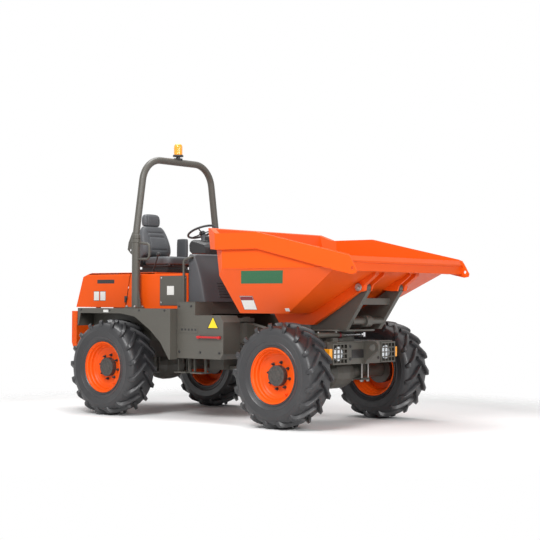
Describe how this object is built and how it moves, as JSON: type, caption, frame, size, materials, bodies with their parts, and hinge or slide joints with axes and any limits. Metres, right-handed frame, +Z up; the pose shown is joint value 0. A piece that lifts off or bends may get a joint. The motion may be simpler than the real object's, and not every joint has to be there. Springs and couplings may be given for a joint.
{
  "type": "site dumper",
  "caption": "Articulated four-wheel site dumper with a swivel skip, an open driver's seat and a roll-over arch.",
  "frame": {"origin": "bottom centre of the bounding box, on the ground", "axes": "+X forward to the skip's lip, +Y to the left, +Z up"},
  "size_m": [4.529, 2.126, 3.154],
  "materials": {
    "orange_paint": "satin",
    "dark_paint": "satin",
    "black_steel": "satin",
    "engine_iron": "matte",
    "grey_plastic": "matte",
    "black_plastic": "matte",
    "seat_vinyl": "satin",
    "tyre_rubber": "matte",
    "rod_chrome": "polished",
    "amber_lens": "gloss",
    "lamp_glass": "gloss",
    "red_paint": "satin"
  },
  "bodies": {
    "rear_chassis": {"rear_frame": "dark_paint", "rear_axle": "dark_paint", "engine_block": "engine_iron", "engine_cover": "orange_paint", "rear_bumper": "orange_paint", "fenders": "dark_paint", "side_boxes": "dark_paint", "platform": "dark_paint", "cowl": "grey_plastic", "dash": "black_plastic", "steering_wheel": "black_plastic", "seat_base": "black_plastic", "seat_cushion": "seat_vinyl", "seat_backrest": "seat_vinyl", "headrest": "seat_vinyl", "arm_pad": "seat_vinyl", "control_lever": "black_plastic", "rops_posts": "dark_paint", "rops_arch": "dark_paint", "beacon_base": "black_plastic", "beacon_lens": "amber_lens", "handrails": "dark_paint", "access_panel": "dark_paint", "lock_bar": "red_paint"},
    "front_chassis": {"front_frame": "dark_paint", "front_axle": "dark_paint", "lamp_guards": "dark_paint", "headlamps": "lamp_glass", "indicators": "amber_lens", "slew_barrel": "dark_paint"},
    "turntable": {"turntable": "dark_paint", "lift_arms": "dark_paint"},
    "skip": {"skip_shell": "orange_paint", "skip_keel": "orange_paint"},
    "hood": {"hood": "orange_paint"},
    "tip_barrel": {"tip_barrel": "dark_paint"},
    "tip_rod": {"tip_rod": "rod_chrome"},
    "steer_barrel": {"steer_barrel": "dark_paint"},
    "steer_rod": {"steer_rod": "rod_chrome"},
    "slew_rod": {"slew_rod": "rod_chrome"},
    "wheel_front_right": {"tyre_front_right": "tyre_rubber", "rim_front_right": "orange_paint"},
    "wheel_front_left": {"tyre_front_left": "tyre_rubber", "rim_front_left": "orange_paint"},
    "wheel_rear_right": {"tyre_rear_right": "tyre_rubber", "rim_rear_right": "orange_paint"},
    "wheel_rear_left": {"tyre_rear_left": "tyre_rubber", "rim_rear_left": "orange_paint"}
  },
  "joints": [
    {"name": "steer", "type": "hinge", "parent": "rear_chassis", "child": "front_chassis", "pos_m": [-0.0295, 0, 0.81], "axis": [0, 0, 1], "range_deg": [-33, 33]},
    {"name": "slew", "type": "hinge", "parent": "front_chassis", "child": "turntable", "pos_m": [1.2205, 0, 0.985], "axis": [0, 0, 1], "range_deg": [-90, 90]},
    {"name": "tip", "type": "hinge", "parent": "turntable", "child": "skip", "pos_m": [1.8405, 0, 1.44], "axis": [0, 1, 0], "range_deg": [0, 65]},
    {"name": "hood_lid", "type": "hinge", "parent": "rear_chassis", "child": "hood", "pos_m": [-2.1695, 0, 1.205], "axis": [0, -1, 0], "range_deg": [0, 60]},
    {"name": "roll_front_right", "type": "hinge", "parent": "front_chassis", "child": "wheel_front_right", "pos_m": [1.2205, -0.863, 0.54], "axis": [0, 1, 0], "continuous": true},
    {"name": "roll_front_left", "type": "hinge", "parent": "front_chassis", "child": "wheel_front_left", "pos_m": [1.2205, 0.863, 0.54], "axis": [0, 1, 0], "continuous": true},
    {"name": "roll_rear_right", "type": "hinge", "parent": "rear_chassis", "child": "wheel_rear_right", "pos_m": [-1.2795, -0.863, 0.54], "axis": [0, 1, 0], "continuous": true},
    {"name": "roll_rear_left", "type": "hinge", "parent": "rear_chassis", "child": "wheel_rear_left", "pos_m": [-1.2795, 0.863, 0.54], "axis": [0, 1, 0], "continuous": true},
    {"name": "tip_swing", "type": "hinge", "parent": "turntable", "child": "tip_barrel", "pos_m": [1.6405, 0, 1.09], "axis": [0, 1, 0], "range_deg": [-1, 65]},
    {"name": "tip_slide", "type": "slide", "parent": "tip_barrel", "child": "tip_rod", "axis": [-0.9999, 0, 0.0158], "range_m": [-0.005, 0.44]},
    {"name": "steer_swing", "type": "hinge", "parent": "rear_chassis", "child": "steer_barrel", "pos_m": [-0.5895, -0.445, 0.78], "axis": [0, 0, 1], "range_deg": [-8, 8]},
    {"name": "steer_slide", "type": "slide", "parent": "steer_barrel", "child": "steer_rod", "axis": [0.9887, 0.1496, 0], "range_m": [-0.207, 0.207]},
    {"name": "slew_slide", "type": "slide", "parent": "front_chassis", "child": "slew_rod", "axis": [0, 1, 0], "range_m": [-0.19, 0.19]}
  ],
  "couplings": [
    {"joint": "tip_swing", "follows": "tip", "ratio": 0.983},
    {"joint": "tip_slide", "follows": "tip", "m_per_rad": 0.3813},
    {"joint": "steer_swing", "follows": "steer", "ratio": 0.195},
    {"joint": "steer_slide", "follows": "steer", "m_per_rad": 0.356},
    {"joint": "slew_slide", "follows": "slew", "m_per_rad": 0.12}
  ]
}
